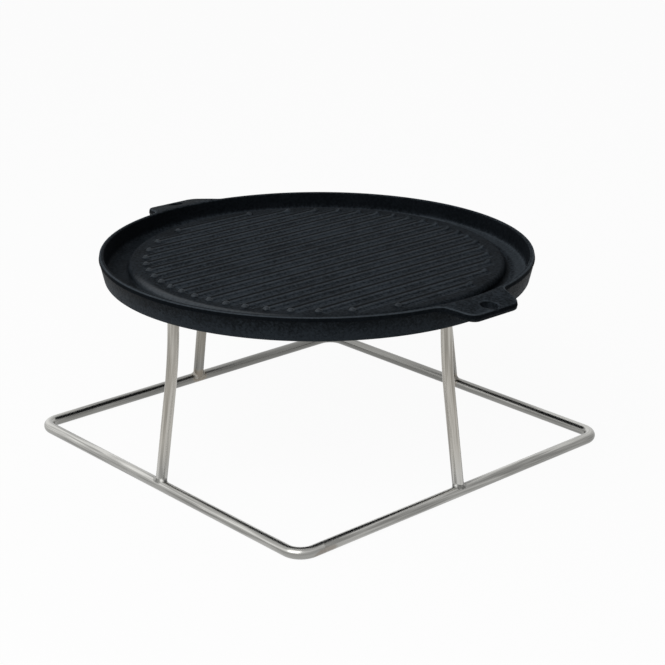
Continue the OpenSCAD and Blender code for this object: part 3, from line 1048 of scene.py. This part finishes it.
class MakeFrame(bpy.types.Operator):
    """Makes the square frame of bent rod and the weld that closes it."""

    bl_idname = "griddle.frame"
    bl_label = "Frame"

    def execute(self, context):
        sizes = context.scene.griddle_stand
        rod_r = sizes.rod_d / 2
        gap = Vector((sizes.seam_l / 2, 0, 0))
        seam = Vector((sizes.seam_x, rod_r - sizes.outer_r, rod_r))
        steel = drawn_steel(sizes, context.scene.griddle_colours)
        path = frame_path(sizes, seam, gap)
        rings = [ring_round(middle, out, UP, rod_r) for middle, out in path]
        lengths = running_lengths([middle for middle, _ in path])
        rod = rod_piece("frame_rod", rings, lengths, steel, rod_r)
        fitted(rod, "stand", "stainless_rod", "base_frame")

        # The closing weld from end to end: place in half lengths of the weld, and share of its rise
        shape = ((-1.15, -0.3), (-1.1, 0.35), (-0.6, 0.9), (0.0, 1.0), (0.6, 0.9), (1.1, 0.35), (1.15, -0.3))
        rings = [ring_round(seam + gap * at, FRONT, UP, rod_r + rise * sizes.seam_rise) for at, rise in shape]
        lengths = [gap.x * at for at, _ in shape]
        weld = rod_piece("frame_seam", rings, lengths, steel, rod_r)
        fitted(weld, "stand", "weld_bead", "frame_seam_weld")
        return {"FINISHED"}


class LegForm:
    """The line of a leg on the stand's +X side, and where its foot meets the frame's rod."""

    def __init__(self, sizes):
        self.s = sizes
        self.rod_r = sizes.rod_d / 2
        self.tip_r = sizes.tip_inner_r + self.rod_r
        self.foot_r = self.tip_r + sizes.splay
        rise = sizes.height - sizes.knee_drop - self.rod_r
        self.lean = math.atan(sizes.splay / rise)
        self.bend_r = sizes.knee_drop / math.tan(self.lean / 2)
        self.lean_l = rise / math.cos(self.lean) - sizes.knee_drop
        self.along = Vector((-math.sin(self.lean), 0, math.cos(self.lean)))
        self.out = Vector((math.cos(self.lean), 0, math.sin(self.lean)))
        self.base = Vector((self.foot_r, 0, self.rod_r))
        self.rod_middle = Vector((self.foot_r + sizes.foot_inset, 0, self.rod_r))

    def around(self, turn):
        """Direction away from the leg's middle at its foot."""
        return self.out * math.cos(turn) + ACROSS * math.sin(turn)

    def foot_start(self, turn):
        """How far along the leg its surface starts at this turn: on the frame's rod, or at the level cut."""
        s = self.s
        level = (s.foot_cut_h - self.rod_r * math.cos(turn) * math.sin(self.lean)) / math.cos(self.lean)
        off = self.rod_r * math.cos(turn) - s.foot_inset * math.cos(self.lean)
        if abs(off) >= self.rod_r:
            return level
        coped = math.sqrt(self.rod_r**2 - off**2) - s.foot_inset * math.sin(self.lean)
        return max(level, coped)

    def foot_point(self, turn, past=0.0):
        """A point of the leg's surface, this far past its start."""
        return self.base + self.around(turn) * self.rod_r + self.along * (self.foot_start(turn) + past)

    def on_rod(self, point):
        """The nearest point of the frame's rod, and the direction out of the rod there."""
        away = point - self.rod_middle
        away.y = 0
        away.normalize()
        nearest = self.rod_middle + away * self.rod_r
        nearest.y = point.y
        return nearest, away


class MakeLegs(bpy.types.Operator):
    """Makes the four legs, coped at the foot, bent upright and cut level at the tip."""

    bl_idname = "griddle.legs"
    bl_label = "Legs"

    def execute(self, context):
        sizes = context.scene.griddle_stand
        form = LegForm(sizes)
        rod_r = form.rod_r
        steel = bpy.data.materials["drawn_steel"]
        path = []
        for i in range(1, LEAN_STEPS + 1):
            at = 2 * rod_r + (form.lean_l - 2 * rod_r) * i / LEAN_STEPS
            path.append((form.base + form.along * at, form.out))
        bend_middle = path[-1][0] + form.out * form.bend_r
        for i in range(1, KNEE_STEPS + 1):
            turn = form.lean * (1 - i / KNEE_STEPS)
            out = Vector((math.cos(turn), 0, math.sin(turn)))
            path.append((bend_middle - out * form.bend_r, out))
        lengths = running_lengths([form.base, *(middle for middle, _ in path), path[-1][0]])
        tip, tip_out = path.pop()
        rings = [[form.foot_point(t) for t in full_turn(ROD_SIDES)]]
        rings += [ring_round(middle, out, ACROSS, rod_r) for middle, out in path]
        rings.append(ring_round(tip - UP * sizes.tip_bevel, tip_out, ACROSS, rod_r))
        rings.append(ring_round(tip, tip_out, ACROSS, rod_r - sizes.tip_bevel))
        for side in SIDES:
            turned = [[quarter(p, side) for p in ring] for ring in rings]
            leg = rod_piece("leg_rod_" + side, turned, lengths, steel, rod_r)
            fitted(leg, "stand", "stainless_rod", "leg_" + side)
        return {"FINISHED"}


class MakeWelds(bpy.types.Operator):
    """Makes the bead round each leg's foot, in the corner between leg and frame."""

    bl_idname = "griddle.welds"
    bl_label = "Foot welds"

    def execute(self, context):
        sizes = context.scene.griddle_stand
        form = LegForm(sizes)
        weld = cleaned_weld(sizes, context.scene.griddle_colours)
        curve = [k / WELD_CURVE for k in range(WELD_CURVE + 1)]
        rings = []
        for turn in full_turn(WELD_STATIONS):
            ripple = sizes.bead_ripple * math.sin(WELD_RIPPLES * turn)
            around = form.around(turn)
            corner, away = form.on_rod(form.foot_point(turn))
            leg_point = form.foot_point(turn, sizes.bead_leg + ripple)
            spread = around - away * around.dot(away)
            rod_point, _ = form.on_rod(corner + spread.normalized() * (sizes.bead_rod + ripple))
            control = corner.lerp((leg_point + rod_point) / 2, sizes.bead_fill)
            ring = [leg_point * (1 - t) ** 2 + control * (2 * t * (1 - t)) + rod_point * t * t for t in curve]
            rings.append([*ring, rod_point - away * WELD_ROOT, leg_point - around * WELD_ROOT])
        faces = bands(WELD_STATIONS, len(rings[0]), closed=True)
        for side in SIDES:
            points = [quarter(p, side) for ring in rings for p in ring]
            bead = new_piece("foot_bead_" + side, points, faces, [weld])
            turned_out(bead)
            smoothed(bead, SHARP_WELD)
            fitted(bead, "stand", "weld_bead", "foot_weld_" + side)
        return {"FINISHED"}


def floor_finish(stage):
    """Pale floor that shows as white but keeps a soft shadow."""
    material, nodes = new_finish("pale_floor")
    matt = nodes.add("ShaderNodeBsdfDiffuse", {}, {"Color": (*stage.floor_tone, 1.0)})
    white = nodes.add("ShaderNodeEmission", {}, {"Color": WHITE, "Strength": 1.0})
    seen = strongest(*nodes.rays()) * stage.floor_glow
    mix = nodes.add("ShaderNodeMixShader", {}, {0: seen, 1: matt, 2: white})
    nodes.add("ShaderNodeOutputMaterial", {}, {"Surface": mix})
    return material


def surround(world, stage, right):
    """White to the camera; elsewhere a soft surround that is brighter on the left."""
    nodes = Nodes(world)
    x, y, _ = nodes.add("ShaderNodeTexCoord", {}, {}, "Generated").parts()
    camera, glossy, clear = nodes.rays()
    leftness = toward(x, y, -right)
    level = leftness * stage.sky_left * (1.0 + glossy)
    level = level + stage.sky_level * (1.0 + glossy * (stage.mirror_gain - 1.0))
    level = level + (1.0 - level) * camera.most(clear)
    background = nodes.add("ShaderNodeBackground", {}, {"Color": WHITE, "Strength": level})
    nodes.add("ShaderNodeOutputWorld", {}, {"Surface": background})


def aimed(name, data, at, aim):
    """A camera or lamp, placed at one point and turned to another."""
    thing = bpy.data.objects.new(name, data)
    thing.location = at
    thing.rotation_euler = (aim - Vector(at)).to_track_quat("-Z", "Y").to_euler()
    bpy.context.scene.collection.objects.link(thing)
    return thing


class MakeStage(bpy.types.Operator):
    """Makes the floor, the surroundings, the key lamp and the camera."""

    bl_idname = "griddle.stage"
    bl_label = "Stage"

    def execute(self, context):
        scene = context.scene
        stage = scene.griddle_stage
        aim = Vector(stage.camera_aim)

        half = stage.floor_size / 2
        corners = [(-half, -half, 0), (half, -half, 0), (half, half, 0), (-half, half, 0)]
        floor = new_piece("stage_floor", corners, [(0, 1, 2, 3)], [floor_finish(stage)])

        camera_data = bpy.data.cameras.new("camera")
        camera_data.lens = stage.camera_lens
        scene.camera = aimed("camera", camera_data, stage.camera_at, aim)

        scene.world = bpy.data.worlds.new("surround")
        forward = aim - Vector(stage.camera_at)
        surround(scene.world, stage, forward.cross(UP).normalized())

        lamp_data = bpy.data.lights.new("key", "AREA")
        lamp_data.size = stage.key_size
        lamp_data.energy = stage.key_power
        aimed("key", lamp_data, stage.key_at, aim).visible_camera = False

        scene.view_settings.view_transform = "Standard"
        return {"FINISHED"}


class GriddlePanel(bpy.types.Panel):
    """Lists every setting, and a button for each group of pieces."""

    bl_idname = "VIEW3D_PT_griddle"
    bl_label = "Camp griddle plate"
    bl_space_type = "VIEW_3D"
    bl_region_type = "UI"
    bl_category = "Griddle"

    def draw(self, context):
        for group in GROUPS:
            box = self.layout.box()
            settings = getattr(context.scene, group)
            for name in settings.__annotations__:
                box.prop(settings, name)
        for maker in MAKERS:
            self.layout.operator(maker.bl_idname)


GROUPS = {
    "griddle_plate": PlateSizes,
    "griddle_stand": StandSizes,
    "griddle_colours": FinishColours,
    "griddle_stage": StageSettings,
}
MAKERS = (MakePlate, MakeFrame, MakeLegs, MakeWelds, MakeStage)


def register():
    for kind in (*GROUPS.values(), *MAKERS, GriddlePanel):
        bpy.utils.register_class(kind)
    for name, kind in GROUPS.items():
        setattr(bpy.types.Scene, name, PointerProperty(type=kind))


def unregister():
    for name in GROUPS:
        delattr(bpy.types.Scene, name)
    for kind in (GriddlePanel, *MAKERS, *GROUPS.values()):
        bpy.utils.unregister_class(kind)


def main():
    """Makes the whole scene."""
    register()
    bpy.ops.griddle.plate()
    bpy.ops.griddle.frame()
    bpy.ops.griddle.legs()
    bpy.ops.griddle.welds()
    bpy.ops.griddle.stage()


if __name__ == "__main__":
    main()
